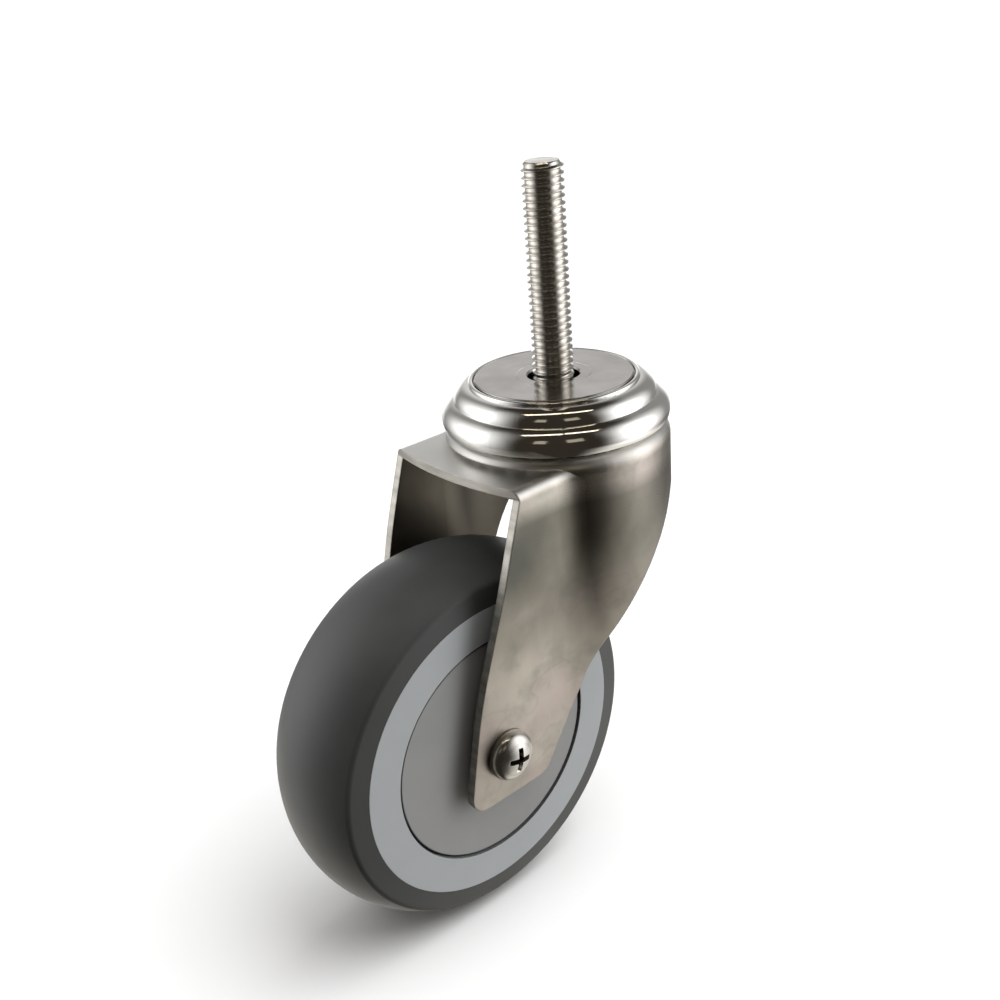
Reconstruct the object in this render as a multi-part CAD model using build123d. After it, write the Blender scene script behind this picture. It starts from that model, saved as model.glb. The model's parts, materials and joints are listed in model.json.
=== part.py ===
"""Swivel castor with a threaded stem, a pressed stainless fork and a soft grey wheel.

Millimetres. The swivel axis is Z, the head's flat top face lies at Z = 0 and the stem stands up from it.
The axle runs along Y and the wheel trails towards -X. The axle screw's head is on the -Y side.
"""
import os
from math import asin, atan2, cos, degrees, pi, radians, sin, sqrt

from build123d import *

# Clearances
static_gap = 0.05          # between pieces that are pressed or clamped together
running_gap = 0.04         # radial, shaft in a bearing's inner ring
race_clearance = 0.15      # round each ball
swivel_gap = 0.5           # between the turning fork and the parts of the head

# Stem bolt, 3/8-16 thread
stem_diameter = 9.3
stem_length = 47.0
stem_chamfer = 1.0
neck_diameter = 8.8           # of the bolt inside the kingpin
bolt_head_flats = 14.29
bolt_head_height = 5.94
hexagon_corner = 0.7
lock_washer_thickness = 2.4
lock_washer_radius = 8.65
lock_washer_slit = 1.2
lock_washer_slit_angle = 30.0

# Kingpin, a hollow rivet
kingpin_radius = 7.3
kingpin_bore = 5.9
kingpin_mouth = 6.25
kingpin_mouth_depth = 0.4
kingpin_flare = 8.6
kingpin_flange = 10.0
kingpin_flange_thickness = 1.8

# Head: washer and pressed cap
swivel_radius = 26.0
washer_thickness = 1.8
washer_inset = 0.25
washer_edge = 0.25
lip_width = 1.05
lip_drop = 0.1
cap_sheet = 1.6
ring_step = 3.0
upper_ring_section = 3.6
upper_ring_drop = 0.9

# Ball rows of the head
ball_diameter = 4.76
race_depth = 0.4
lower_pitch_radius = 13.0
lower_race_sheet = 1.8
lower_race_rim = 1.6
ball_spacing = 0.3

# Fork
fork_sheet = 2.0
boss_height = 2.2
boss_bend = 4.0
crown_bend = 2.5
inner_bend = 0.5
fork_half_width = 20.3
fork_inner_gap = 32.0
drum_foot_radius = 20.5
drum_blend = 12.0           # hollow between leg and drum, at the crown
drum_foot_blend = 60.0      # and at the foot of the drum
crown_front_x = -33.4
crown_corner_x = -30.9
skirt_depth = 26.2
width_taper_start = 30.0
width_taper_end = 66.0
drum_taper_start = 35.0
drum_taper_end = 80.0
taper_sections = 8

# Wheel and axle
wheel_diameter = 88.9
wheel_trail = 37.8
axle_drop = 74.8
hub_width = 28.3
tread_shoulder_radius = 40.1
tread_shoulder_width = 26.7
tread_shoulder_round = 1.6
hub_ring_radius = 35.3
core_waist_radius = 37.2
core_waist_width = 18.0
guard_radius = 26.8
guard_groove = 0.4
guard_recess = 0.4
guard_thickness = 1.6
guard_bearing_gap = 0.4
guard_edge = 0.3
guard_snap_radius = 24.8
guard_snap_wall = 1.6
guard_snap_depth = 2.5
core_rim_inner = 25.6
core_web = 5.0
core_hub_wall = 3.4
core_ribs = 8
core_rib_thickness = 2.0
core_rib_inset = 0.5

# Wheel bearings, 3/8 x 7/8 inch
bearing_bore = 9.525
bearing_outside = 22.225
bearing_width = 7.142
bearing_ring_wall = 1.6
bearing_ball = 3.97
bearing_ball_count = 7
bearing_shoulder = 2.1
shield_thickness = 0.3
shield_inset = 0.15
spacer_radius = 6.2

# Axle screw, 1/4 inch, with a lock nut
screw_diameter = 6.24
screw_clearance = 0.18
screw_head_diameter = 11.7
screw_head_edge = 1.0         # height of the straight side
screw_head_corner = 2.4
screw_head_dome = 9.0         # radius of its crown
screw_head_break = 0.3
screw_length = 44.45
recess_reach = 3.4
recess_foot_reach = 0.8
recess_width = 1.35
recess_foot_width = 0.9
recess_depth = 2.6
recess_turn = -11.3
nut_flats = 11.1
nut_height = 7.9
nut_hex_height = 5.6
nut_insert_height = 2.0
nut_collar_radius = 5.0
nut_collar_wall = 0.8

# Leg outline, seen from the side; x and depth below the mounting face
leg_front_bow = (-39.3, 42.0)
leg_front_foot = (-49.6, 86.2)
leg_rear_foot = (-26.6, 86.2)
leg_rear_knee = (-14.5, 68.9)
leg_rear_bow = (-4.6, 52.0)
leg_rear_top = (15.2, 26.2)
leg_front_corner = 4.0
leg_rear_corner = 5.0
leg_knee_radius = 12.0
leg_top_corner = 6.0

# Sizes that follow from the ones above
ball_radius = ball_diameter / 2
race_radius = ball_radius + race_clearance
lower_ring_section = race_radius + cap_sheet
upper_pitch_radius = swivel_radius - lower_ring_section
upper_ring_radius = swivel_radius - ring_step
upper_ring_centre = upper_ring_radius - upper_ring_section
washer_radius = upper_ring_centre - lip_width - washer_inset
ring_groove_z = -upper_ring_drop - upper_ring_section
ball_rise = race_radius - race_depth
upper_ball_z = ring_groove_z - sqrt(lower_ring_section ** 2 - (upper_ring_radius - upper_pitch_radius) ** 2)
drum_top_z = upper_ball_z - ball_rise
cap_bottom_z = drum_top_z + swivel_gap
crown_top_z = drum_top_z - boss_height
crown_under_z = crown_top_z - fork_sheet
drum_under_z = drum_top_z - fork_sheet
lower_ball_z = drum_under_z - ball_rise
lower_race_top_z = lower_ball_z - ball_rise
lower_race_bottom_z = lower_race_top_z - lower_race_sheet
kingpin_bottom_z = lower_race_bottom_z - kingpin_flange_thickness
bolt_seat_z = kingpin_bottom_z - lock_washer_thickness
stem_radius = stem_diameter / 2
axle_half_width = fork_inner_gap / 2 + fork_sheet
wheel_radius = wheel_diameter / 2
bearing_outer_y = hub_width / 2 - guard_recess - guard_thickness - guard_bearing_gap
spacer_length = fork_inner_gap / 2 - bearing_outer_y
bearing_inner_y = bearing_outer_y - bearing_width
bearing_pitch_radius = (bearing_bore + bearing_outside) / 4
screw_hole = screw_diameter / 2 + screw_clearance
fork_reach = wheel_trail + wheel_radius


def write(shape, node):
    """Save one piece as its own file."""
    export_step(shape, "parts/" + node + ".step")


def wire_from(start, steps, place):
    """Closed wire through lines and arcs. A step is an end point, or a pair of middle and end points."""
    edges = []
    here = start
    for step in steps:
        if isinstance(step[0], tuple):
            middle, end = step
            edges.append(Edge.make_three_point_arc(place(here), place(middle), place(end)))
        else:
            end = step
            edges.append(Edge.make_line(place(here), place(end)))
        here = end
    if here != start:
        edges.append(Edge.make_line(place(here), place(start)))
    return Wire(edges)


def in_section(point):
    """A radius and a height, in the XZ plane."""
    return (point[0], 0, point[1])


def lathe(start, *steps):
    """Turn an outline of radius and height about Z."""
    return revolve(Face(wire_from(start, steps, in_section)), Axis.Z, 360)


def on_circle(centre, radius, angle):
    """Point of a section circle at an angle in degrees from the outward direction."""
    return (centre[0] + radius * cos(radians(angle)), centre[1] + radius * sin(radians(angle)))


def ring(inner, outer, low, high):
    """Plain ring on the Z axis."""
    return lathe((inner, low), (outer, low), (outer, high), (inner, high))


def on_axle(shape):
    """Lay a piece that was built on Z along the axle, with its top towards -Y."""
    return Pos(-wheel_trail, 0, -axle_drop) * Rot(90, 0, 0) * shape


def other_side(shape):
    """The same piece at the other end of the axle, before it is laid down."""
    return Rot(180, 0, 0) * shape


def ball_row(pitch_radius, height, radius, count):
    """A full ring of balls round Z."""
    balls = []
    for index in range(count):
        angle = 2 * pi * index / count
        balls.append(Pos(pitch_radius * cos(angle), pitch_radius * sin(angle), height) * Sphere(radius))
    return Compound(children=balls)


def full_count(pitch_radius):
    """How many balls fill a row with a small space between them."""
    return int(2 * pi * pitch_radius / (ball_diameter + ball_spacing))


def hexagon(flats, low, high):
    """Hexagonal prism with its top and bottom corners turned down."""
    sides = 6
    prism = extrude(Pos(0, 0, low) * RegularPolygon(flats / 2, sides, major_radius=False), amount=high - low)
    corner = flats / 2 / cos(pi / sides)
    cut = hexagon_corner
    turned = lathe(
        (0, low), (flats / 2, low), (corner, low + cut), (corner, high - cut), (flats / 2, high), (0, high)
    )
    return prism & turned


def make_stem_bolt():
    """Threaded stem and its hexagon head in one piece; the stem passes up through the kingpin."""
    neck = neck_diameter / 2
    stem = lathe(
        (0, bolt_seat_z), (neck, bolt_seat_z), (neck, 0), (stem_radius, 0),
        (stem_radius, stem_length - stem_chamfer), (stem_radius - stem_chamfer, stem_length),
        (0, stem_length),
    )
    return stem + hexagon(bolt_head_flats, bolt_seat_z - bolt_head_height, bolt_seat_z)


def make_lock_washer():
    """Split spring washer under the kingpin."""
    washer = ring(stem_radius + static_gap, lock_washer_radius, bolt_seat_z, kingpin_bottom_z)
    slit = Box(2 * lock_washer_radius, lock_washer_slit, 3 * lock_washer_thickness)
    middle = bolt_seat_z + lock_washer_thickness / 2
    return washer - Pos(lock_washer_radius, 0, middle) * Rot(lock_washer_slit_angle, 0, 0) * slit


def make_kingpin():
    """Hollow rivet: flared into the top washer, with a flange under the lower race."""
    return lathe(
        (kingpin_bore, kingpin_bottom_z), (kingpin_flange, kingpin_bottom_z),
        (kingpin_flange, lower_race_bottom_z), (kingpin_radius, lower_race_bottom_z),
        (kingpin_radius, -washer_thickness), (kingpin_flare, 0), (kingpin_mouth, 0),
        (kingpin_bore, -kingpin_mouth_depth),
    )


def make_top_washer():
    """Flat washer set into the cap, with a countersunk hole for the flare of the kingpin."""
    edge = washer_edge
    return lathe(
        (kingpin_radius + static_gap, -washer_thickness), (washer_radius, -washer_thickness),
        (washer_radius, -edge), (washer_radius - edge, 0), (kingpin_flare + static_gap, 0),
    )


def make_swivel_cap():
    """Pressed cap with two rounded rings; the lower ring is the outer race of the upper balls."""
    upper = (upper_ring_centre, ring_groove_z)
    lower = (upper_pitch_radius, upper_ball_z)
    lip_inner = washer_radius + washer_inset
    lip_top = ((lip_inner + upper_ring_centre) / 2, -lip_drop)
    floor_z = -washer_thickness
    under_z = floor_z - cap_sheet
    inner_section = upper_ring_section - cap_sheet
    waist = upper_ring_radius - cap_sheet
    waist_rise = sqrt(race_radius ** 2 - (waist - upper_pitch_radius) ** 2)
    lip_fall = upper_ball_z - cap_bottom_z
    rim_inner = upper_pitch_radius + sqrt(race_radius ** 2 - lip_fall ** 2)
    rim_outer = upper_pitch_radius + sqrt(lower_ring_section ** 2 - lip_fall ** 2)
    shelf_angle = 180 - degrees(asin((under_z - ring_groove_z) / inner_section))
    shelf = on_circle(upper, inner_section, shelf_angle)
    return lathe(
        (kingpin_radius + static_gap, floor_z), (lip_inner, floor_z),
        (lip_inner, -lip_drop - lip_width / 2),
        (lip_top, (upper_ring_centre, -upper_ring_drop)),
        (on_circle(upper, upper_ring_section, 45), (upper_ring_radius, ring_groove_z)),
        ((swivel_radius, upper_ball_z), (rim_outer, cap_bottom_z)),
        (rim_inner, cap_bottom_z),
        ((upper_pitch_radius + race_radius, upper_ball_z), (waist, upper_ball_z + waist_rise)),
        (waist, ring_groove_z),
        (on_circle(upper, inner_section, shelf_angle / 2), shelf),
        (kingpin_radius + static_gap, under_z),
    )


def make_lower_race():
    """Pressed cup that carries the lower balls."""
    rim_inner = lower_pitch_radius + race_radius + ball_spacing
    rim_outer = rim_inner + lower_race_rim
    cup = lathe(
        (kingpin_radius + static_gap, lower_race_bottom_z),
        (rim_outer - lower_race_sheet, lower_race_bottom_z),
        (rim_outer, lower_race_bottom_z + lower_race_sheet), (rim_outer, drum_under_z - swivel_gap),
        (rim_inner, drum_under_z - swivel_gap), (rim_inner, lower_race_top_z),
        (kingpin_radius + static_gap, lower_race_top_z),
    )
    return cup - Pos(0, 0, lower_ball_z) * Torus(lower_pitch_radius, race_radius)


def keyhole(depth, half_width, drum, blend):
    """Level section of the fork: straight sides that run into the round drum through a hollow blend."""
    reach_x = sqrt((drum + blend) ** 2 - (half_width + blend) ** 2)
    reach_y = half_width + blend
    share = drum / (drum + blend)
    front = -2 * fork_reach
    middle = (atan2(-reach_y, reach_x) - pi / 2) / 2
    hollow = (-reach_x + blend * cos(middle), reach_y + blend * sin(middle))
    touch = (-reach_x * share, reach_y * share)

    def level(point):
        return (point[0], point[1], -depth)

    return wire_from(
        (front, half_width),
        [
            (-reach_x, half_width), (hollow, touch), ((drum, 0), (touch[0], -touch[1])),
            ((hollow[0], -hollow[1]), (-reach_x, -half_width)), (front, -half_width),
        ],
        level,
    )


def fork_body(inset, top_z, bend):
    """Everything inside the fork's outer skin, or inside its inner one where inset is the sheet."""
    span = width_taper_end - width_taper_start
    sections = []
    for index in range(taper_sections + 1):
        share = index / taper_sections
        ease = share * share * (3 - 2 * share)
        half_width = fork_half_width + (axle_half_width - fork_half_width) * ease
        drum = swivel_radius + (drum_foot_radius - swivel_radius) * share ** 2
        blend = drum_blend + (drum_foot_blend - drum_blend) * share ** 2 + inset
        sections.append(keyhole(width_taper_start + span * share, half_width - inset, drum - inset, blend))
    head = keyhole(-top_z, fork_half_width - inset, swivel_radius - inset, drum_blend + inset)
    upper = extrude(Face(head), amount=width_taper_start + top_z, dir=(0, 0, -1))
    crown_edges = upper.faces().sort_by(Axis.Z)[-1].edges()
    upper = fillet([edge for edge in crown_edges if edge.center().X > -fork_reach], bend)
    middle = Solid.make_loft(sections)
    lower = extrude(Face(sections[-1]), amount=fork_reach, dir=(0, 0, -1))
    return upper + middle + lower


def drum_body(inset, top_z, bend):
    """Raised round boss of the crown, which is the top of the drum."""
    radius = swivel_radius - inset
    corner = (radius - bend, top_z - bend)
    return lathe(
        (0, -width_taper_start), (radius, -width_taper_start), (radius, top_z - bend),
        (on_circle(corner, bend, 45), (radius - bend, top_z)), (0, top_z),
    )


def leg_outline():
    """Side outline of the pressed sheet below the crown, with its corners rounded."""
    def below(point):
        return (point[0], 0, -point[1])

    face = Face(wire_from(
        (crown_corner_x, -crown_under_z),
        [
            (leg_front_bow, leg_front_foot), leg_rear_foot, leg_rear_knee, (leg_rear_bow, leg_rear_top),
            (fork_reach, skirt_depth), (fork_reach, -crown_under_z),
        ],
        below,
    ))
    corners = (
        (leg_front_foot, leg_front_corner), (leg_rear_foot, leg_rear_corner),
        (leg_rear_knee, leg_knee_radius), (leg_rear_top, leg_top_corner),
    )
    for point, radius in corners:
        corner = face.vertices().sort_by_distance(Vector(*below(point)))[0]
        face = face.fillet_2d(radius, [corner])
    return face


def fork_trim():
    """The space inside the fork's cut edges: the leg outline below, and the bowed front edge above."""
    legs = extrude(leg_outline(), amount=fork_reach, both=True)

    def level(point):
        return (point[0], point[1], crown_under_z)

    crown = Face(wire_from(
        (crown_corner_x, -fork_half_width),
        [
            ((crown_front_x, 0), (crown_corner_x, fork_half_width)), (crown_corner_x, fork_reach),
            (fork_reach, fork_reach), (fork_reach, -fork_reach), (crown_corner_x, -fork_reach),
        ],
        level,
    ))
    return legs + extrude(crown, amount=-crown_under_z, dir=(0, 0, 1))


def make_fork():
    """Fork pressed from one sheet: crown with its raised boss, drum-shaped skirt and two legs."""
    skin = fork_body(0, crown_top_z, crown_bend) + drum_body(0, drum_top_z, boss_bend)
    hollow = fork_body(fork_sheet, crown_under_z, inner_bend)
    hollow += drum_body(fork_sheet, drum_under_z, inner_bend)
    fork = (skin - hollow) & fork_trim()
    fork -= Cylinder(kingpin_radius + swivel_gap, fork_reach)
    fork -= Pos(0, 0, upper_ball_z) * Torus(upper_pitch_radius, race_radius)
    fork -= Pos(0, 0, lower_ball_z) * Torus(lower_pitch_radius, race_radius)
    return fork - on_axle(Cylinder(screw_hole, fork_reach))


def make_core():
    """Wheel centre: rim with a recess for each guard, web, ribs and bearing hub."""
    face_y = hub_width / 2
    ledge_y = face_y - guard_recess - guard_thickness
    recess = guard_radius + guard_groove
    seat = bearing_outside / 2
    hub = seat + core_hub_wall
    shoulder = seat - bearing_shoulder
    web = core_web / 2
    hub_y = bearing_outer_y
    waist_y = core_waist_width / 2
    core = lathe(
        (shoulder, -bearing_inner_y), (seat, -bearing_inner_y), (seat, -hub_y), (hub, -hub_y), (hub, -web),
        (core_rim_inner, -web), (core_rim_inner, -ledge_y), (recess, -ledge_y), (recess, -face_y),
        (hub_ring_radius, -face_y), (core_waist_radius, -waist_y), (core_waist_radius, waist_y),
        (hub_ring_radius, face_y), (recess, face_y), (recess, ledge_y), (core_rim_inner, ledge_y),
        (core_rim_inner, web), (hub, web), (hub, hub_y), (seat, hub_y), (seat, bearing_inner_y),
        (shoulder, bearing_inner_y),
    )
    rib_height = 2 * (ledge_y - guard_snap_depth - core_rib_inset)
    rib_length = core_rim_inner - hub + 2 * static_gap
    for index in range(core_ribs):
        rib = Pos((core_rim_inner + hub) / 2, 0, 0) * Box(rib_length, core_rib_thickness, rib_height)
        core += Rot(0, 0, 360 * index / core_ribs) * rib
    return core


def make_tread():
    """Soft tread moulded round the core, with a crowned running face."""
    face_y = hub_width / 2
    shoulder_y = tread_shoulder_width / 2
    waist_y = core_waist_width / 2
    tread = lathe(
        (hub_ring_radius, -face_y), (tread_shoulder_radius, -shoulder_y),
        ((wheel_radius, 0), (tread_shoulder_radius, shoulder_y)), (hub_ring_radius, face_y),
        (core_waist_radius, waist_y), (core_waist_radius, -waist_y),
    )
    shoulders = [
        edge for edge in tread.edges().filter_by(GeomType.CIRCLE)
        if abs(edge.radius - tread_shoulder_radius) < static_gap
    ]
    return fillet(shoulders, tread_shoulder_round)


def make_guard():
    """Thread guard, a disc that snaps into the core's recess."""
    outer_y = hub_width / 2 - guard_recess
    inner_y = outer_y - guard_thickness
    snap_inner = guard_snap_radius - guard_snap_wall
    hole = spacer_radius + swivel_gap
    edge = guard_edge
    return lathe(
        (hole, inner_y), (snap_inner, inner_y), (snap_inner, inner_y - guard_snap_depth),
        (guard_snap_radius, inner_y - guard_snap_depth), (guard_snap_radius, inner_y),
        (guard_radius, inner_y), (guard_radius, outer_y - edge), (guard_radius - edge, outer_y),
        (hole, outer_y),
    )


def bearing_ring(inner, outer, groove_radius):
    """Bearing ring with its ball groove."""
    body = ring(inner, outer, bearing_inner_y, bearing_outer_y)
    middle = (bearing_inner_y + bearing_outer_y) / 2
    return body - Pos(0, 0, middle) * Torus(groove_radius, bearing_ball / 2 + race_clearance / 2)


def make_bearing_inner():
    bore = bearing_bore / 2
    return bearing_ring(bore, bore + bearing_ring_wall, bearing_pitch_radius)


def make_bearing_outer():
    outside = bearing_outside / 2
    return bearing_ring(outside - bearing_ring_wall, outside, bearing_pitch_radius)


def make_bearing_balls():
    middle = (bearing_inner_y + bearing_outer_y) / 2
    return ball_row(bearing_pitch_radius, middle, bearing_ball / 2, bearing_ball_count)


def make_bearing_shields():
    """Thin steel shields at both faces of a bearing, held in its outer ring."""
    inner = bearing_bore / 2 + bearing_ring_wall + 2 * race_clearance
    outer = bearing_outside / 2 - bearing_ring_wall - static_gap
    shields = []
    for low in (bearing_inner_y + shield_inset, bearing_outer_y - shield_inset - shield_thickness):
        shields.append(ring(inner, outer, low, low + shield_thickness))
    return Compound(children=shields)


def make_spacer():
    """Washer-shaped spacer between a bearing's inner ring and the leg."""
    return ring(bearing_bore / 2, spacer_radius, bearing_outer_y, fork_inner_gap / 2)


def make_axle_bush():
    """Tube that keeps the legs apart and carries the bearings."""
    return ring(screw_hole, bearing_bore / 2 - running_gap, -fork_inner_gap / 2, fork_inner_gap / 2)


def cross_recess(top):
    """Tapered cross recess of the screw's head."""
    wings = []
    for turn in (0, 90):
        wide = Pos(0, 0, top) * Rectangle(2 * recess_reach, recess_width)
        narrow = Pos(0, 0, top - recess_depth) * Rectangle(2 * recess_foot_reach, recess_foot_width)
        wings.append(Rot(0, 0, turn + recess_turn) * loft([wide.face(), narrow.face()]))
    return wings[0] + wings[1]


def make_axle_screw():
    """Pan head screw through both legs and the bush."""
    radius = screw_diameter / 2
    head = screw_head_diameter / 2
    seat = axle_half_width
    edge = seat + screw_head_edge
    corner = (head - screw_head_corner, edge)
    fall = sqrt((screw_head_dome - screw_head_corner) ** 2 - corner[0] ** 2)
    centre = (0, edge - fall)
    touch = degrees(atan2(fall, corner[0]))
    screw = lathe(
        (0, seat - screw_length), (radius, seat - screw_length), (radius, seat),
        (head - screw_head_break, seat),
        (head, seat + screw_head_break), (head, edge),
        (on_circle(corner, screw_head_corner, touch / 2), on_circle(corner, screw_head_corner, touch)),
        (on_circle(centre, screw_head_dome, (90 + touch) / 2), (0, centre[1] + screw_head_dome)),
    )
    return screw - cross_recess(centre[1] + screw_head_dome)


def make_axle_nut():
    """Lock nut with a rounded collar that holds the insert."""
    seat = -axle_half_width
    end = seat - nut_height
    hexagon_part = hexagon(nut_flats, seat - nut_hex_height, seat)
    collar = lathe(
        (0, seat - nut_hex_height), (nut_flats / 2 - hexagon_corner, seat - nut_hex_height),
        (nut_collar_radius, end), (0, end),
    )
    pocket = Cylinder(nut_collar_radius - nut_collar_wall, nut_insert_height)
    nut = hexagon_part + collar - Pos(0, 0, end + nut_insert_height / 2) * pocket
    return nut - Cylinder(screw_diameter / 2 + static_gap, fork_reach)


def make_nut_insert():
    """Nylon ring that grips the thread."""
    low = -axle_half_width - nut_height + static_gap
    high = low + nut_insert_height - 2 * static_gap
    outer = nut_collar_radius - nut_collar_wall - static_gap
    return ring(screw_diameter / 2 + static_gap, outer, low, high)


def main():
    os.makedirs("parts", exist_ok=True)
    write(make_stem_bolt(), "stem_bolt")
    write(make_lock_washer(), "lock_washer")
    write(make_kingpin(), "kingpin")
    write(make_top_washer(), "top_washer")
    write(make_swivel_cap(), "swivel_cap")
    write(make_lower_race(), "lower_race")
    upper = ball_row(upper_pitch_radius, upper_ball_z, ball_radius, full_count(upper_pitch_radius))
    lower = ball_row(lower_pitch_radius, lower_ball_z, ball_radius, full_count(lower_pitch_radius))
    write(upper, "upper_balls")
    write(lower, "lower_balls")
    write(make_fork(), "fork")
    write(on_axle(make_core()), "wheel_core")
    write(on_axle(make_tread()), "tread")
    write(on_axle(make_axle_bush()), "axle_bush")
    write(on_axle(make_axle_screw()), "axle_screw")
    write(on_axle(make_axle_nut()), "axle_nut")
    write(on_axle(make_nut_insert()), "nut_insert")
    paired = {
        "thread_guard": make_guard(),
        "bearing_inner": make_bearing_inner(),
        "bearing_outer": make_bearing_outer(),
        "bearing_balls": make_bearing_balls(),
        "bearing_shields": make_bearing_shields(),
        "axle_spacer": make_spacer(),
    }
    for name, shape in paired.items():
        write(on_axle(shape), name + "_screw_side")
        write(on_axle(other_side(shape)), name + "_nut_side")


main()
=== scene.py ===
"""Studio scene of the swivel castor: its finishes, the thread of its stem, lights, floor and camera.

Metres, in the part's own frame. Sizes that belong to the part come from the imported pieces.
"""
import json
from math import ceil, cos, pi, radians, sin, tan

import bmesh
import bpy
from mathutils import Matrix, Vector

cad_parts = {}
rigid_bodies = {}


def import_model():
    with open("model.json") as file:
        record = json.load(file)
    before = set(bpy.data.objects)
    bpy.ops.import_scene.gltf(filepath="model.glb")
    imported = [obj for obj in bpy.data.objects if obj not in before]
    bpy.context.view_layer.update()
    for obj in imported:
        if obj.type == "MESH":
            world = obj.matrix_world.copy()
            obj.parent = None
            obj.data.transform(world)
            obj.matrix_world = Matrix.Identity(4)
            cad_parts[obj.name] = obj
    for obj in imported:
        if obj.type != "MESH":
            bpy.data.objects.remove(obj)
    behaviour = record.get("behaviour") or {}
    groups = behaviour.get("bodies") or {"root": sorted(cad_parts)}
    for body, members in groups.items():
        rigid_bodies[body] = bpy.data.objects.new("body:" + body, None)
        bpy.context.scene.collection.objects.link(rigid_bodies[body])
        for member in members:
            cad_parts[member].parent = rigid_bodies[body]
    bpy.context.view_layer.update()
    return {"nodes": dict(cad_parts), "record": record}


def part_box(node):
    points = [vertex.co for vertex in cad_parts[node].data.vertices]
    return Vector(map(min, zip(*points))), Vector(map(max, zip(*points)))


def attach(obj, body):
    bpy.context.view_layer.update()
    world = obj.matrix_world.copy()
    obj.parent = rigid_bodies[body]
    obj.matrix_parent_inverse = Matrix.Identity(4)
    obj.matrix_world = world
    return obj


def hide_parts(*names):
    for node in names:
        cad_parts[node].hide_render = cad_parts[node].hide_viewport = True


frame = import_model()

# Camera: turns in degrees, lengths in metres, lens and sensor in millimetres
CAMERA_AZIMUTH = -40.57
CAMERA_ELEVATION = 24.57
CAMERA_ROLL = -4.545
CAMERA_DISTANCE = 0.27072
CAMERA_SIDE_SHIFT = -0.014309
CAMERA_RISE = -0.027626
CAMERA_LENS = 43.162
CAMERA_SENSOR = 36.0
CAMERA_CLIP = (0.01, 20.0)

# Stem bolt: the crest, the root and the depth of its thread are shares of the pitch
THREAD_PITCH = 0.0015875
THREAD_SEGMENTS = 120
CREST_SHARE = 0.10
ROOT_SHARE = 0.38
THREAD_DEPTH_SHARE = 0.42
STEM_TIP_CHAMFER = 0.0010
HEXAGON_CORNER_STEPS = 6
SMOOTH_ANGLE = 32
MERGE_DISTANCE = 1e-7

# Light and dark shade of each finish
BUFFED_STEEL = ((0.78, 0.77, 0.75), (0.70, 0.69, 0.66))
SCREW_STEEL = ((0.56, 0.54, 0.51), (0.46, 0.44, 0.41))
SHEET_STEEL = ((0.45, 0.415, 0.37), (0.35, 0.325, 0.285))
SHEARED_STEEL = ((0.44, 0.42, 0.385), (0.28, 0.27, 0.24))
TURNED_STEEL = ((0.49, 0.47, 0.45), (0.37, 0.355, 0.335))
ROLLED_STEEL = ((0.72, 0.70, 0.66), (0.52, 0.49, 0.45))
TREAD_RUBBER = ((0.052, 0.055, 0.055), (0.062, 0.065, 0.064))
CORE_PLASTIC = ((0.50, 0.53, 0.555), (0.48, 0.51, 0.535))
GUARD_PLASTIC = ((0.36, 0.365, 0.37), (0.34, 0.345, 0.35))
NYLON = ((0.72, 0.72, 0.68), (0.66, 0.66, 0.62))

# Single colours
GROUND_STEEL = (0.74, 0.74, 0.75)
# Painted shade in the recess of the axle screw's head
SCREW_RECESS_SHADE = (0.09, 0.085, 0.08)
SHEET_BLUSH = (0.40, 0.345, 0.32)
SHEET_PATCH = (0.28, 0.27, 0.235)
SHEET_STAIN = (0.20, 0.18, 0.16)
# Painted shade on the upper leg and drum
SHEET_PAINTED_SHADE = (0.125, 0.119, 0.098)
# Painted shade: one dark spot on the upper near leg
SHEET_SPOT_SHADE = (0.065, 0.067, 0.058)
# Painted light: level faces and the upper part of the bends are lighter
SHEET_LIT_LEVEL = (0.60, 0.59, 0.565)
# Painted shade: faces turned towards the swivel axis are dark
SHEET_SHADED_INSIDE = (0.09, 0.08, 0.063)
# Painted shade in the narrow groove between the wheel's core and guard
GAP_SHADE = (0.02, 0.02, 0.019)
FLOOR_PAINT = (0.9, 0.9, 0.9)
WHITE = (1.0, 1.0, 1.0)
WARM = (1.0, 0.91, 0.70)
WARM_GREY = (1.0, 0.97, 0.9)
ROOM_TONE = (0.036, 0.030, 0.023)

# Radii of broken edges
PRESSED_EDGE = 0.00025
SHEET_EDGE = 0.0005
TURNED_EDGE = 0.0002
BOLT_EDGE = 0.00015
MOULDED_EDGE = 0.00025
EDGE_SAMPLES = 4

# Ranges of the noise that stains, flow marks and gloss are made from
STAIN_RANGE = (0.35, 0.7)
FLOW_RANGE = (0.35, 0.68)
GLOSS_RANGE = (0.3, 0.7)

# Places and distances between which a finish or a painted shade sets in, from nought to full
# Painted shade of the groove: radii where it sets in on the core and on the guard
CORE_GAP_SHADE_RADII = (0.02730, 0.02714)
GUARD_GAP_SHADE_RADII = (0.02645, 0.02670)
ABOVE_SCREW = (0.005, 0.001)
RECESS_REACH = (0.0042, 0.0036)
RECESS_DEPTH = (0.0006, 0.0015)
# Heights and places of the painted shade on the upper leg and drum
SHADE_BELOW = (-0.017, -0.021)
SHADE_ABOVE = (-0.056, -0.030)
SHADE_FRONT = (-0.004, -0.014)
# Centre and reach of the painted dark spot on the upper near leg
SPOT_SHADE_PLACE = (-0.0345, -0.0203, -0.0275)
SPOT_SHADE_REACH = (0.018, 0.008)
FRONT_EDGE_PLACES = (-0.028, -0.032)
DULL_BELOW = (-0.027, -0.044)

# Directions between which a face counts as level, as a cut front edge and as turned to the swivel axis
LEVEL_NORMAL = (0.2, 0.7)
FRONT_NORMAL = (-0.70, -0.82)
INWARD = (-0.006, -0.012)

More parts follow.
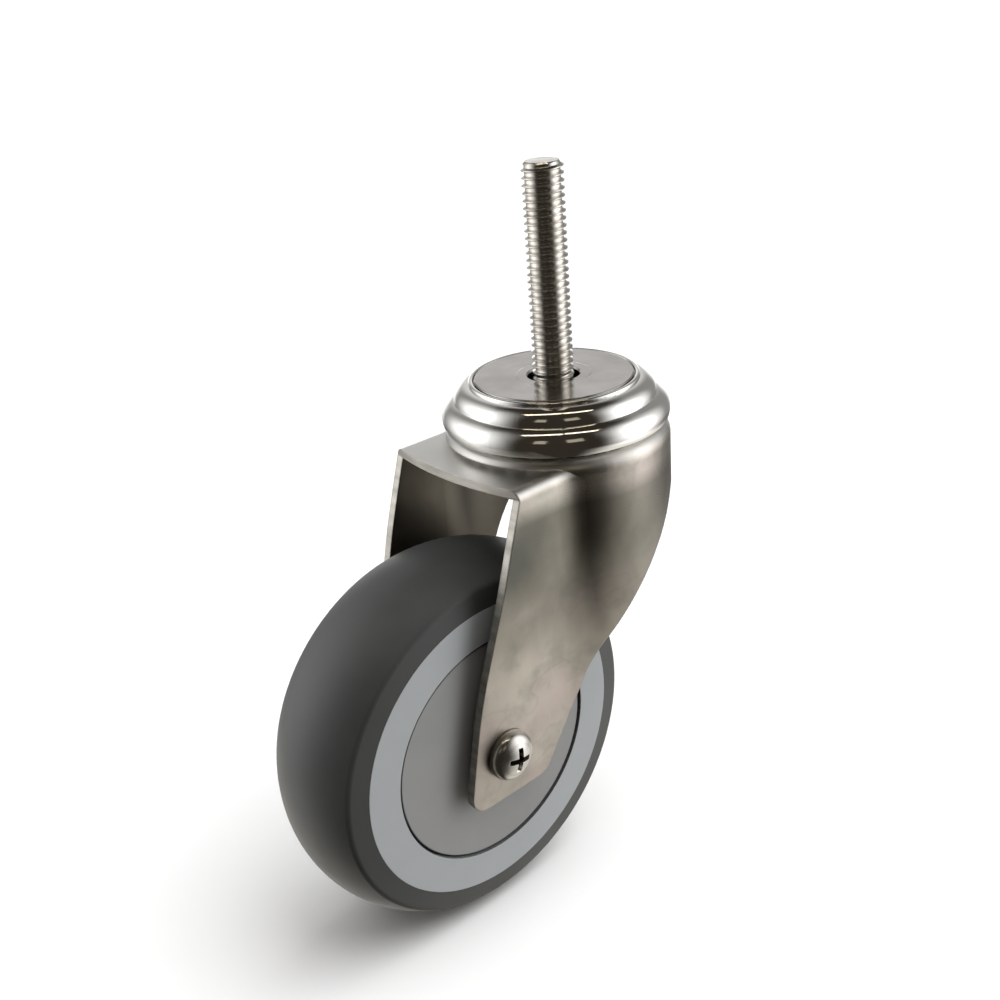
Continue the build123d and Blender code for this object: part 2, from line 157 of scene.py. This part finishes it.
# Studio
STUDIO_RADIUS = 0.9
CEILING_SHARE = 0.95
CARD_STEPS = 24
BACKDROP_RADIUS = 4.0
BACKDROP_STEPS = 32
BACKDROP_GLOW = 1.05
FLOOR_SIZE = 7.0

# Lights of the floor alone: name, energy, width in degrees, and lean to the left for each metre of fall
FLOOR_LIGHTS = (("floor_sky", 2.1, 110, 0.15), ("floor_light", 2.3, 60, 0.55))


def camera_axes():
    """The camera's right, up and backward directions, and the point that it looks at."""
    azimuth = radians(CAMERA_AZIMUTH)
    elevation = radians(CAMERA_ELEVATION)
    roll = radians(CAMERA_ROLL)
    back = Vector((sin(azimuth) * cos(elevation), -cos(azimuth) * cos(elevation), sin(elevation)))
    level = (-back).cross(Vector((0, 0, 1))).normalized()
    rise = level.cross(-back)
    right = cos(roll) * level + sin(roll) * rise
    up = cos(roll) * rise - sin(roll) * level
    target = level * CAMERA_SIDE_SHIFT + rise * CAMERA_RISE
    return right, up, back, target


def add_camera():
    right, up, back, target = camera_axes()
    data = bpy.data.cameras.new("camera")
    data.lens = CAMERA_LENS
    data.sensor_width = CAMERA_SENSOR
    data.sensor_fit = "HORIZONTAL"
    data.clip_start, data.clip_end = CAMERA_CLIP
    camera = bpy.data.objects.new("camera", data)
    bpy.context.scene.collection.objects.link(camera)
    turn = Matrix((right, up, back)).transposed().to_4x4()
    camera.matrix_world = Matrix.Translation(target + back * CAMERA_DISTANCE) @ turn
    bpy.context.scene.camera = camera


# Material helpers


class Nodes:
    """A material's node tree, with short calls to add and join nodes."""

    def __init__(self, name):
        self.material = bpy.data.materials.new(name)
        self.material.use_nodes = True
        self.tree = self.material.node_tree
        self.shader = self.tree.nodes["Principled BSDF"]

    def add(self, kind, **settings):
        node = self.tree.nodes.new(kind)
        for key, value in settings.items():
            setattr(node, key, value)
        return node

    def join(self, output, socket):
        self.tree.links.new(output, socket)

    def place(self):
        """Position on the piece, in metres."""
        return self.add("ShaderNodeTexCoord").outputs["Object"]

    def normal(self):
        """Normal of the piece's own surface."""
        return self.add("ShaderNodeTexCoord").outputs["Normal"]

    def stretched(self, scale):
        mapping = self.add("ShaderNodeMapping")
        mapping.inputs["Scale"].default_value = scale
        self.join(self.place(), mapping.inputs["Vector"])
        return mapping.outputs["Vector"]

    def rounded(self, radius):
        """Normal of the surface with its sharp edges broken."""
        node = self.add("ShaderNodeBevel", samples=EDGE_SAMPLES)
        node.inputs["Radius"].default_value = radius
        return node.outputs["Normal"]

    def along(self, vector, axis):
        """One coordinate of a place or a direction."""
        node = self.add("ShaderNodeSeparateXYZ")
        self.join(vector, node.inputs["Vector"])
        return node.outputs[axis]

    def kept(self, vector, axes):
        """A place or a direction with each of its coordinates times nought or one."""
        node = self.add("ShaderNodeVectorMath", operation="MULTIPLY")
        node.inputs[1].default_value = axes
        self.join(vector, node.inputs[0])
        return node.outputs["Vector"]

    def distance(self, spot=(0.0, 0.0, 0.0), axes=(1.0, 1.0, 1.0)):
        """Distance from a spot, along the axes that are one."""
        offset = self.add("ShaderNodeVectorMath", operation="SUBTRACT")
        offset.inputs[1].default_value = spot
        self.join(self.place(), offset.inputs[0])
        length = self.add("ShaderNodeVectorMath", operation="LENGTH")
        self.join(self.kept(offset.outputs["Vector"], axes), length.inputs[0])
        return length.outputs["Value"]

    def facing_in(self):
        """Nought on faces that look away from the swivel axis and one on those that look towards it."""
        dot = self.add("ShaderNodeVectorMath", operation="DOT_PRODUCT")
        self.join(self.kept(self.place(), (1.0, 1.0, 0.0)), dot.inputs[0])
        self.join(self.normal(), dot.inputs[1])
        return self.spread(dot.outputs["Value"], *INWARD)

    def noise(self, scale, detail=3.0, rough=0.5, place=None):
        node = self.add("ShaderNodeTexNoise")
        node.inputs["Scale"].default_value = scale
        node.inputs["Detail"].default_value = detail
        node.inputs["Roughness"].default_value = rough
        self.join(place or self.place(), node.inputs["Vector"])
        return node.outputs["Fac"]

    def spread(self, value, low, high, to_low=0.0, to_high=1.0):
        """Map a value from one range to another, held at both ends."""
        node = self.add("ShaderNodeMapRange")
        node.inputs["From Min"].default_value = low
        node.inputs["From Max"].default_value = high
        node.inputs["To Min"].default_value = to_low
        node.inputs["To Max"].default_value = to_high
        self.join(value, node.inputs["Value"])
        return node.outputs["Result"]

    def math(self, operation, first, second=0.0):
        node = self.add("ShaderNodeMath", operation=operation)
        for socket, value in zip(node.inputs, (first, second)):
            if isinstance(value, (int, float)):
                socket.default_value = value
            else:
                self.join(value, socket)
        return node.outputs["Value"]

    def mix(self, share, first, second):
        """Colour between two colours or outputs."""
        node = self.add("ShaderNodeMix", data_type="RGBA")
        self.join(share, node.inputs[0])
        for socket, value in ((node.inputs[6], first), (node.inputs[7], second)):
            if isinstance(value, tuple):
                socket.default_value = (*value, 1.0)
            else:
                self.join(value, socket)
        return node.outputs[2]

    def bump(self, height, strength, distance, under=None):
        node = self.add("ShaderNodeBump")
        node.inputs["Strength"].default_value = strength
        node.inputs["Distance"].default_value = distance
        self.join(height, node.inputs["Height"])
        if under is not None:
            self.join(under, node.inputs["Normal"])
        self.join(node.outputs["Normal"], self.shader.inputs["Normal"])
        return node.outputs["Normal"]

    def set(self, **values):
        for key, value in values.items():
            socket = self.shader.inputs[key.replace("_", " ")]
            if isinstance(value, tuple):
                socket.default_value = (*value, 1.0)
            elif isinstance(value, (int, float)):
                socket.default_value = value
            else:
                self.join(value, socket)


# Finishes


def screw_masks(look):
    """Share of the axle screw in the polished pieces, and share of the painted shade in the recess of its
    head.
    """
    low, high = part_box("axle_screw")
    screw = look.spread(look.along(look.place(), "Z"), *(high.z + rise for rise in ABOVE_SCREW))
    reach_out = look.distance(((low.x + high.x) / 2, low.y, (low.z + high.z) / 2))
    depth = look.math("SUBTRACT", look.along(look.place(), "Y"), low.y)
    recess = look.math("MULTIPLY", look.spread(reach_out, *RECESS_REACH), look.spread(depth, *RECESS_DEPTH))
    return screw, recess


def polished_steel():
    """Buffed pressing, almost a mirror; the axle screw is duller, with painted shade in its recess."""
    look = Nodes("polished_steel")
    ripple = look.noise(260, 2.0, 0.4)
    hair = look.noise(900, 4.0, 0.6, look.stretched((1.0, 1.0, 9.0)))
    stain = look.spread(look.noise(70, 3.0, 0.55), *STAIN_RANGE)
    screw, recess = screw_masks(look)
    bright = look.mix(stain, *BUFFED_STEEL)
    dull = look.mix(recess, look.mix(stain, *SCREW_STEEL), SCREW_RECESS_SHADE)
    gloss = look.spread(hair, 0.3, 0.75, 0.06, 0.11)
    look.set(
        Metallic=1.0,
        Base_Color=look.mix(screw, bright, dull),
        Roughness=look.math("ADD", gloss, look.math("MULTIPLY", screw, 0.15)),
    )
    first = look.bump(ripple, 0.06, 0.0004, look.rounded(PRESSED_EDGE))
    look.bump(hair, 0.015, 0.00005, first)
    return look.material


def mill_finish(look, cloud, patch):
    """Colour of the plain sheet: warm clouds, blushes, patches and the faint outline of dried stains."""
    blush = look.noise(75, 1.0, 0.5)
    clouds = look.mix(look.spread(cloud, 0.36, 0.66), *SHEET_STEEL)
    blushed = look.mix(look.spread(blush, 0.45, 0.66, 0.0, 0.75), clouds, SHEET_BLUSH)
    patched = look.mix(look.spread(patch, 0.47, 0.68, 0.0, 0.6), blushed, SHEET_PATCH)
    outline = look.math("ABSOLUTE", look.math("SUBTRACT", blush, 0.54))
    return look.mix(look.spread(outline, 0.022, 0.004, 0.0, 0.12), patched, SHEET_STAIN)


def painted_leg_shade(look, colour, cloud, patch):
    """The sheet's colour with painted shade on the upper leg and drum, and one painted dark spot by the
    leg's bend.
    """
    height = look.along(look.place(), "Z")
    # Painted shade on the upper leg and drum, between two heights and fuller towards the front
    shade_heights = look.math("MULTIPLY", look.spread(height, *SHADE_BELOW), look.spread(height, *SHADE_ABOVE))
    front = look.spread(look.along(look.place(), "X"), *SHADE_FRONT, 0.82, 1.0)
    uneven = look.spread(cloud, 0.3, 0.55, 0.75, 1.0)
    shade = look.math("MULTIPLY", look.math("MULTIPLY", shade_heights, front), uneven)
    # Painted shade: one dark spot with a ragged edge on the upper near leg
    near = look.math("ADD", look.distance(SPOT_SHADE_PLACE), look.math("MULTIPLY", patch, 0.008))
    spot_shade = look.spread(near, *SPOT_SHADE_REACH, 0.0, 0.75)
    return look.mix(spot_shade, look.mix(shade, colour, SHEET_PAINTED_SHADE), SHEET_SPOT_SHADE)


def satin_steel():
    """Pressed sheet with its mill finish, cloudy, warm and stained; painted shade on the upper leg and on
    faces turned inwards, painted light on level faces; dull inside and on its cut faces.
    """
    look = Nodes("satin_steel")
    cloud = look.noise(48, 3.0, 0.55, look.stretched((1.0, 1.0, 0.6)))
    patch = look.noise(110, 4.0, 0.6)
    grain = look.noise(2600, 3.0, 0.65)
    streak = look.noise(420, 4.0, 0.6, look.stretched((0.15, 0.15, 1.0)))
    height = look.along(look.place(), "Z")
    forward = look.along(look.place(), "X")
    # Faces turned towards the swivel axis, which get painted shade and more roughness
    inside = look.facing_in()
    # Level faces, which get painted light and more roughness
    top = look.spread(look.along(look.normal(), "Z"), *LEVEL_NORMAL)
    cut = look.math(
        "MULTIPLY", look.spread(look.along(look.normal(), "X"), *FRONT_NORMAL),
        look.spread(forward, *FRONT_EDGE_PLACES),
    )
    sheet = painted_leg_shade(look, mill_finish(look, cloud, patch), cloud, patch)
    # Level faces lighter as painted light, faces turned inwards dark as painted shade
    skin = look.mix(inside, look.mix(top, sheet, SHEET_LIT_LEVEL), SHEET_SHADED_INSIDE)
    sheared = look.mix(look.spread(streak, 0.35, 0.65), *SHEARED_STEEL)
    blotch = look.math("ADD", cloud, look.math("MULTIPLY", patch, 0.5))
    rough = look.spread(blotch, 0.5, 1.0, 0.20, 0.34)
    rough = look.math("ADD", rough, look.spread(height, *DULL_BELOW, 0.0, 0.2))
    rough = look.math("ADD", rough, look.math("MULTIPLY", top, 0.08))
    rough = look.math("ADD", rough, look.math("MULTIPLY", look.math("MAXIMUM", inside, cut), 0.1))
    look.set(Metallic=1.0, Base_Color=look.mix(cut, skin, sheared), Roughness=rough)
    first = look.bump(cloud, 0.35, 0.0008, look.rounded(SHEET_EDGE))
    second = look.bump(streak, 0.03, 0.0001, first)
    look.bump(grain, 0.06, 0.00004, second)
    return look.material


def machined_steel():
    """Turned faces with fine rings about the swivel axis."""
    look = Nodes("machined_steel")
    rings = look.add("ShaderNodeTexNoise", noise_dimensions="1D")
    rings.inputs["Scale"].default_value = 4200
    rings.inputs["Detail"].default_value = 2.0
    look.join(look.distance(axes=(1.0, 1.0, 0.0)), rings.inputs["W"])
    cloud = look.noise(90, 3.0)
    smear = look.noise(260, 3.0, 0.6)
    look.set(
        Metallic=1.0,
        Base_Color=look.mix(look.spread(cloud, *STAIN_RANGE), *TURNED_STEEL),
        Roughness=look.spread(smear, *GLOSS_RANGE, 0.12, 0.20),
    )
    first = look.bump(rings.outputs["Fac"], 0.06, 0.00004, look.rounded(TURNED_EDGE))
    look.bump(smear, 0.03, 0.00015, first)
    return look.material


def bolt_steel():
    """Rolled thread and forged head: bright, a little rough."""
    look = Nodes("bolt_steel")
    stain = look.noise(320, 4.0, 0.6)
    grain = look.noise(2400, 3.0, 0.6)
    look.set(
        Metallic=1.0,
        Base_Color=look.mix(look.spread(stain, *STAIN_RANGE), *ROLLED_STEEL),
        Roughness=look.spread(stain, *GLOSS_RANGE, 0.14, 0.26),
    )
    look.bump(grain, 0.08, 0.00004, look.rounded(BOLT_EDGE))
    return look.material


def bearing_steel():
    """Ground balls and rings."""
    look = Nodes("bearing_steel")
    haze = look.noise(500, 2.0)
    look.set(Metallic=1.0, Base_Color=GROUND_STEEL, Roughness=look.spread(haze, *GLOSS_RANGE, 0.06, 0.12))
    look.bump(haze, 0.02, 0.00005)
    return look.material


def tread_rubber():
    """Moulded soft tread: dark grey and finely matt."""
    look = Nodes("tread_rubber")
    cloud = look.noise(60, 4.0, 0.6)
    grain = look.noise(3800, 3.0, 0.6)
    look.set(
        Base_Color=look.mix(look.spread(cloud, *FLOW_RANGE), *TREAD_RUBBER),
        Roughness=look.spread(cloud, *GLOSS_RANGE, 0.44, 0.56),
        Specular_IOR_Level=0.45,
    )
    first = look.bump(cloud, 0.15, 0.0005)
    look.bump(grain, 0.16, 0.00004, first)
    return look.material


def moulded_plastic(name, light, dark, roughness, gap_shade_radii=None):
    """Moulded plastic with faint flow marks and a fine spark-eroded grain.

    Gap shade radii are the two distances from the axle between which the painted shade of a narrow gap sets
    in.
    """
    look = Nodes(name)
    flow = look.noise(75, 4.0, 0.6)
    grain = look.noise(3000, 3.0, 0.6)
    colour = look.mix(look.spread(flow, *FLOW_RANGE), light, dark)
    if gap_shade_radii:
        low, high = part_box("tread")
        radius = look.distance((low + high) / 2, (1.0, 0.0, 1.0))
        # Painted shade in the narrow gap
        colour = look.mix(look.spread(radius, *gap_shade_radii), colour, GAP_SHADE)
    look.set(
        Base_Color=colour,
        Roughness=look.spread(flow, *GLOSS_RANGE, roughness - 0.04, roughness + 0.05),
        Specular_IOR_Level=0.4,
    )
    first = look.bump(flow, 0.06, 0.0004, look.rounded(MOULDED_EDGE))
    look.bump(grain, 0.10, 0.00003, first)
    return look.material


def dress_nodes(materials):
    """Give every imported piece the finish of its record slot."""
    slots = {part["node"]: part["material_slot"] for part in frame["record"]["subparts"]}
    for node, piece in frame["nodes"].items():
        piece.data.materials.clear()
        piece.data.materials.append(materials[slots[node]])


# Meshes


def build_mesh(name, points, faces):
    mesh = bpy.data.meshes.new(name)
    mesh.from_pydata(points, [], faces)
    mesh.validate()
    mesh.update()
    return mesh


def grid_faces(rows, wide, closed, start=0):
    """Four-sided faces between rows of points; a closed row runs on from its last point to its first."""
    faces = []
    for row in range(rows - 1):
        below = start + row * wide
        above = below + wide
        for column in range(wide if closed else wide - 1):
            after = (column + 1) % wide
            faces.append((below + column, below + after, above + after, above + column))
    return faces


def tidy_skin(piece, angle):
    """Merge doubled points, close what is open, face outwards and shade smooth up to an angle."""
    work = bmesh.new()
    work.from_mesh(piece.data)
    bmesh.ops.remove_doubles(work, verts=work.verts, dist=MERGE_DISTANCE)
    bmesh.ops.dissolve_degenerate(work, edges=work.edges, dist=MERGE_DISTANCE)
    bmesh.ops.holes_fill(work, edges=[edge for edge in work.edges if edge.is_boundary], sides=0)
    bmesh.ops.recalc_face_normals(work, faces=work.faces)
    work.to_mesh(piece.data)
    work.free()
    piece.data.shade_smooth()
    piece.data.set_sharp_from_angle(angle=radians(angle))


# Stem bolt


def thread_radius(share, crest, root):
    """Radius of the thread at a share of its pitch: flat crest, straight flanks, flat root."""
    flank = (1 - CREST_SHARE - ROOT_SHARE) / 2
    if share < CREST_SHARE:
        return crest
    if share < CREST_SHARE + flank:
        return crest + (root - crest) * (share - CREST_SHARE) / flank
    if share < CREST_SHARE + flank + ROOT_SHARE:
        return root
    return root + (crest - root) * (share - CREST_SHARE - flank - ROOT_SHARE) / flank


def profile_shares():
    """Places along one pitch where the thread's outline has a corner or needs a point."""
    flank = (1 - CREST_SHARE - ROOT_SHARE) / 2
    soft = CREST_SHARE / 5
    return (
        0.0, soft, CREST_SHARE - soft, CREST_SHARE, CREST_SHARE + flank / 2, CREST_SHARE + flank - soft,
        CREST_SHARE + flank + soft, CREST_SHARE + flank + ROOT_SHARE - soft,
        CREST_SHARE + flank + ROOT_SHARE + soft, 1 - flank / 2, 1 - soft,
    )


def thread_skin(crest, low, high):
    """Points and faces of a right-hand threaded rod, open at both ends, with a chamfer at its tip."""
    root = crest - THREAD_PITCH * THREAD_DEPTH_SHARE
    turns = ceil((high - low) / THREAD_PITCH) + 1
    rows = [turn + share for turn in range(-1, turns) for share in profile_shares()]
    points = []
    for row in rows:
        for column in range(THREAD_SEGMENTS + 1):
            angle = 2 * pi * column / THREAD_SEGMENTS
            height = low + (row + column / THREAD_SEGMENTS) * THREAD_PITCH
            held = min(max(height, low), high)
            share = (row + (held - height) / THREAD_PITCH) % 1
            tip = crest - STEM_TIP_CHAMFER + (high - held)
            radius = min(thread_radius(share, crest, root), tip)
            points.append((radius * cos(angle), radius * sin(angle), held))
    return points, grid_faces(len(rows), THREAD_SEGMENTS + 1, False)


def reach(node, low, high, pick=max):
    """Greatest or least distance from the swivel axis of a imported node's points between two heights."""
    spots = [vertex.co for vertex in frame["nodes"][node].data.vertices if low <= vertex.co.z <= high]
    return pick(Vector((spot.x, spot.y)).length for spot in spots)


def ringed_skin(levels, segments=THREAD_SEGMENTS):
    """Points and faces of a closed skin through level rings, each a height and its radius at an angle."""
    points = [(0.0, 0.0, levels[0][0])]
    for height, radius_at in levels:
        for column in range(segments):
            angle = 2 * pi * column / segments
            radius = radius_at(angle)
            points.append((radius * cos(angle), radius * sin(angle), height))
    points.append((0.0, 0.0, levels[-1][0]))
    last = len(points) - 1
    faces = grid_faces(len(levels), segments, True, 1)
    for column in range(segments):
        after = (column + 1) % segments
        faces.append((0, 1 + after, 1 + column))
        faces.append((last - segments + column, last - segments + after, last))
    return points, faces


def hexagon_levels(low, high, flats, corner):
    """Rings of a hexagon head whose end corners are turned down. Corner is its radius over the corners."""
    def ring_at(rise):
        def radius_at(angle):
            side = flats / 2 / cos((angle % (pi / 3)) - pi / 6)
            return min(side, flats / 2 + rise / tan(pi / 6))
        return radius_at

    fall = (corner - flats / 2) * tan(pi / 6)
    rises = [fall * step / HEXAGON_CORNER_STEPS for step in range(HEXAGON_CORNER_STEPS + 1)]
    levels = [(low + rise, ring_at(rise)) for rise in rises]
    levels += [(high - rise, ring_at(rise)) for rise in reversed(rises)]
    return levels


def merged(parts):
    """One list of points and faces from several skins."""
    points = []
    faces = []
    for more_points, more_faces in parts:
        start = len(points)
        points += more_points
        faces += [tuple(start + index for index in face) for face in more_faces]
    return points, faces


def add_bolt(material):
    """The whole stem bolt: thread, neck and hexagon head."""
    low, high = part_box("stem_bolt")
    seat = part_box("lock_washer")[0].z
    step = STEM_TIP_CHAMFER / 10
    crest = reach("stem_bolt", step, high.z)
    neck = reach("stem_bolt", -step, step, min)
    head = ringed_skin(hexagon_levels(low.z, seat, high.y - low.y, high.x))
    shank = ringed_skin([(height, lambda angle: neck) for height in (seat, -THREAD_PITCH / 2)])
    thread = thread_skin(crest, -THREAD_PITCH, high.z)
    mesh = build_mesh("threaded_stem_bolt", *merged([head, shank, thread]))
    mesh.materials.append(material)
    bolt = bpy.data.objects.new("threaded_stem_bolt", mesh)
    bpy.context.scene.collection.objects.link(bolt)
    tidy_skin(bolt, SMOOTH_ANGLE)
    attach(bolt, "head")
    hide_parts("stem_bolt")


# Studio


def glow(name, colour, strength, clear):
    """Plain emission that fades by an attribute; a clear one adds to what lies behind it."""
    material = bpy.data.materials.new(name)
    material.use_nodes = True
    tree = material.node_tree
    tree.nodes.clear()
    out = tree.nodes.new("ShaderNodeOutputMaterial")
    emission = tree.nodes.new("ShaderNodeEmission")
    emission.inputs["Color"].default_value = (*colour, 1.0)
    fade = tree.nodes.new("ShaderNodeAttribute")
    fade.attribute_name = "fade"
    scale = tree.nodes.new("ShaderNodeMath")
    scale.operation = "MULTIPLY"
    scale.inputs[1].default_value = strength
    tree.links.new(fade.outputs["Fac"], scale.inputs[0])
    tree.links.new(scale.outputs["Value"], emission.inputs["Strength"])
    light = emission.outputs["Emission"]
    if clear:
        through = tree.nodes.new("ShaderNodeBsdfTransparent")
        both = tree.nodes.new("ShaderNodeAddShader")
        tree.links.new(light, both.inputs[0])
        tree.links.new(through.outputs["BSDF"], both.inputs[1])
        light = both.outputs["Shader"]
    tree.links.new(light, out.inputs["Surface"])
    return material


def add_glowing(name, points, faces, fades, material):
    """Stage piece that glows, each point by its own share."""
    mesh = build_mesh(name, points, faces)
    attribute = mesh.attributes.new("fade", "FLOAT", "POINT")
    attribute.data.foreach_set("value", fades)
    mesh.materials.append(material)
    piece = bpy.data.objects.new(name, mesh)
    bpy.context.scene.collection.objects.link(piece)
    piece.visible_shadow = False
    piece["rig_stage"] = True
    return piece


def lamp(name, points, fades, wide, colour, strength):
    """Lit card from rows of points; it lights the part, and neither the camera nor the floor sees it."""
    faces = grid_faces(len(points) // wide, wide, False)
    card = add_glowing(name, points, faces, fades, glow(name, colour, strength, True))
    card.visible_camera = False
    card.light_linking.receiver_collection = part_collection()
    return card


def eased(share):
    """Nought to one with a soft start and end."""
    held = min(max(share, 0.0), 1.0)
    return held * held * (3 - 2 * held)


def studio_card(name, colour, strength, turns, rises, soft):
    """A curved lit card round the part, which fades out towards its edges.

    Turns are degrees to the right of the camera, rises degrees up, and soft the width of the fade in each.
    """
    points = []
    fades = []
    for row in range(CARD_STEPS + 1):
        rise = rises[0] + (rises[1] - rises[0]) * row / CARD_STEPS
        for column in range(CARD_STEPS + 1):
            turn = turns[0] + (turns[1] - turns[0]) * column / CARD_STEPS
            azimuth = radians(CAMERA_AZIMUTH + turn)
            points.append((
                STUDIO_RADIUS * sin(azimuth) * cos(radians(rise)),
                -STUDIO_RADIUS * cos(azimuth) * cos(radians(rise)),
                STUDIO_RADIUS * sin(radians(rise)),
            ))
            fades.append(
                eased(min(turn - turns[0], turns[1] - turn) / soft[0])
                * eased(min(rise - rises[0], rises[1] - rise) / soft[1])
            )
    return lamp(name, points, fades, CARD_STEPS + 1, colour, strength)


def ceiling_bar(name, colour, strength, sideways, forward):
    """A straight lit bar overhead, across the camera's view. Its ends are shares of the studio's radius."""
    azimuth = radians(CAMERA_AZIMUTH)
    across = Vector((cos(azimuth), sin(azimuth), 0))
    near = Vector((sin(azimuth), -cos(azimuth), 0))
    points = [
        STUDIO_RADIUS * (across * side + near * front + Vector((0, 0, CEILING_SHARE)))
        for front in forward for side in sideways
    ]
    lamp(name, points, [1.0] * 4, 2, colour, strength)


def part_collection():
    """Collection of everything that the studio cards light, which is all but the floor."""
    name = "lit_by_cards"
    lit = bpy.data.collections.get(name)
    if lit is None:
        lit = bpy.data.collections.new(name)
        for piece in bpy.data.objects:
            if piece.type == "MESH" and "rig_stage" not in piece:
                lit.objects.link(piece)
    return lit


def add_lights():
    """Two large side boxes, a pale wall behind, a pale table below, and thin warm bars overhead."""
    studio_card("left_box", WHITE, 3.0, turns=(-150, -42), rises=(-50, 72), soft=(70, 60))
    studio_card("right_box", WHITE, 3.0, turns=(37, 134), rises=(-50, 64), soft=(55, 50))
    studio_card("room_behind", WHITE, 0.27, turns=(105, 255), rises=(-30, 58), soft=(20, 15))
    studio_card("back_wall", WHITE, 0.5, turns=(148, 212), rises=(-20, 52), soft=(25, 20))
    studio_card("horizon", WHITE, 1.5, turns=(145, 215), rises=(-24, 14), soft=(22, 16))
    studio_card("table_left", WARM_GREY, 1.2, turns=(-186, -42), rises=(-88, -22), soft=(45, 12))
    studio_card("table_right", WARM_GREY, 0.92, turns=(20, 186), rises=(-88, -22), soft=(50, 12))
    ceiling_bar("bar_left", WARM, 3.6, sideways=(-0.40, 0.046), forward=(0.125, 0.22))
    ceiling_bar("bar_right", WARM, 3.6, sideways=(0.074, 0.45), forward=(0.125, 0.22))
    studio_card("window_left", WARM, 0.42, turns=(-28, -14), rises=(23, 41), soft=(1.5, 1.5))
    studio_card("window_right", WARM, 0.42, turns=(6, 25), rises=(23, 41), soft=(1.5, 1.5))
    overhead = studio_card("overhead", WHITE, 1.5, turns=(-180, 180), rises=(38, 90), soft=(1, 20))
    overhead.visible_glossy = False
    world = bpy.data.worlds.new("studio")
    world.use_nodes = True
    world.node_tree.nodes["Background"].inputs["Color"].default_value = (*ROOM_TONE, 1.0)
    bpy.context.scene.world = world


def add_floor():
    """Pale floor at the wheel's lowest point, lit by lights of its own that throw a soft shadow."""
    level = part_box("tread")[0].z
    half = FLOOR_SIZE / 2
    corners = [(-half, -half, level), (half, -half, level), (half, half, level), (-half, half, level)]
    mesh = build_mesh("floor", corners, [(0, 1, 2, 3)])
    look = Nodes("floor_paint")
    look.set(Base_Color=FLOOR_PAINT, Roughness=0.9, Specular_IOR_Level=0.0)
    mesh.materials.append(look.material)
    floor = bpy.data.objects.new("floor", mesh)
    bpy.context.scene.collection.objects.link(floor)
    floor.visible_glossy = False
    floor.visible_diffuse = False
    floor.visible_shadow = False
    floor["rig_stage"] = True
    lit = bpy.data.collections.new("lit_by_floor_light")
    lit.objects.link(floor)
    azimuth = radians(CAMERA_AZIMUTH)
    towards_left = Vector((-cos(azimuth), -sin(azimuth), 0))
    for name, energy, angle, lean in FLOOR_LIGHTS:
        data = bpy.data.lights.new(name, "SUN")
        data.energy = energy
        data.angle = radians(angle)
        light = bpy.data.objects.new(name, data)
        ray = towards_left * lean - Vector((0, 0, 1))
        light.rotation_euler = ray.to_track_quat("-Z", "Y").to_euler()
        bpy.context.scene.collection.objects.link(light)
        light.light_linking.receiver_collection = lit


def add_backdrop():
    """White surround that only the camera sees."""
    points = []
    for row in range(BACKDROP_STEPS + 1):
        rise = -pi / 2 + pi * row / BACKDROP_STEPS
        for column in range(BACKDROP_STEPS):
            turn = 2 * pi * column / BACKDROP_STEPS
            points.append((
                BACKDROP_RADIUS * cos(rise) * cos(turn), BACKDROP_RADIUS * cos(rise) * sin(turn),
                BACKDROP_RADIUS * sin(rise),
            ))
    faces = grid_faces(BACKDROP_STEPS + 1, BACKDROP_STEPS, True)
    paint = glow("backdrop_paint", WHITE, BACKDROP_GLOW, False)
    backdrop = add_glowing("backdrop", points, faces, [1.0] * len(points), paint)
    backdrop.visible_glossy = False
    backdrop.visible_diffuse = False
    backdrop.visible_transmission = False


def main():
    scene = bpy.context.scene
    scene.view_settings.view_transform = "Standard"
    materials = {
        "polished_steel": polished_steel(),
        "satin_steel": satin_steel(),
        "machined_steel": machined_steel(),
        "bolt_steel": bolt_steel(),
        "bearing_steel": bearing_steel(),
        "tread_rubber": tread_rubber(),
        "core_plastic": moulded_plastic("core_plastic", *CORE_PLASTIC, 0.48, CORE_GAP_SHADE_RADII),
        "guard_plastic": moulded_plastic("guard_plastic", *GUARD_PLASTIC, 0.5, GUARD_GAP_SHADE_RADII),
        "nylon": moulded_plastic("nylon", *NYLON, 0.4),
    }
    dress_nodes(materials)
    add_bolt(materials["bolt_steel"])
    add_camera()
    add_lights()
    add_floor()
    add_backdrop()


main()
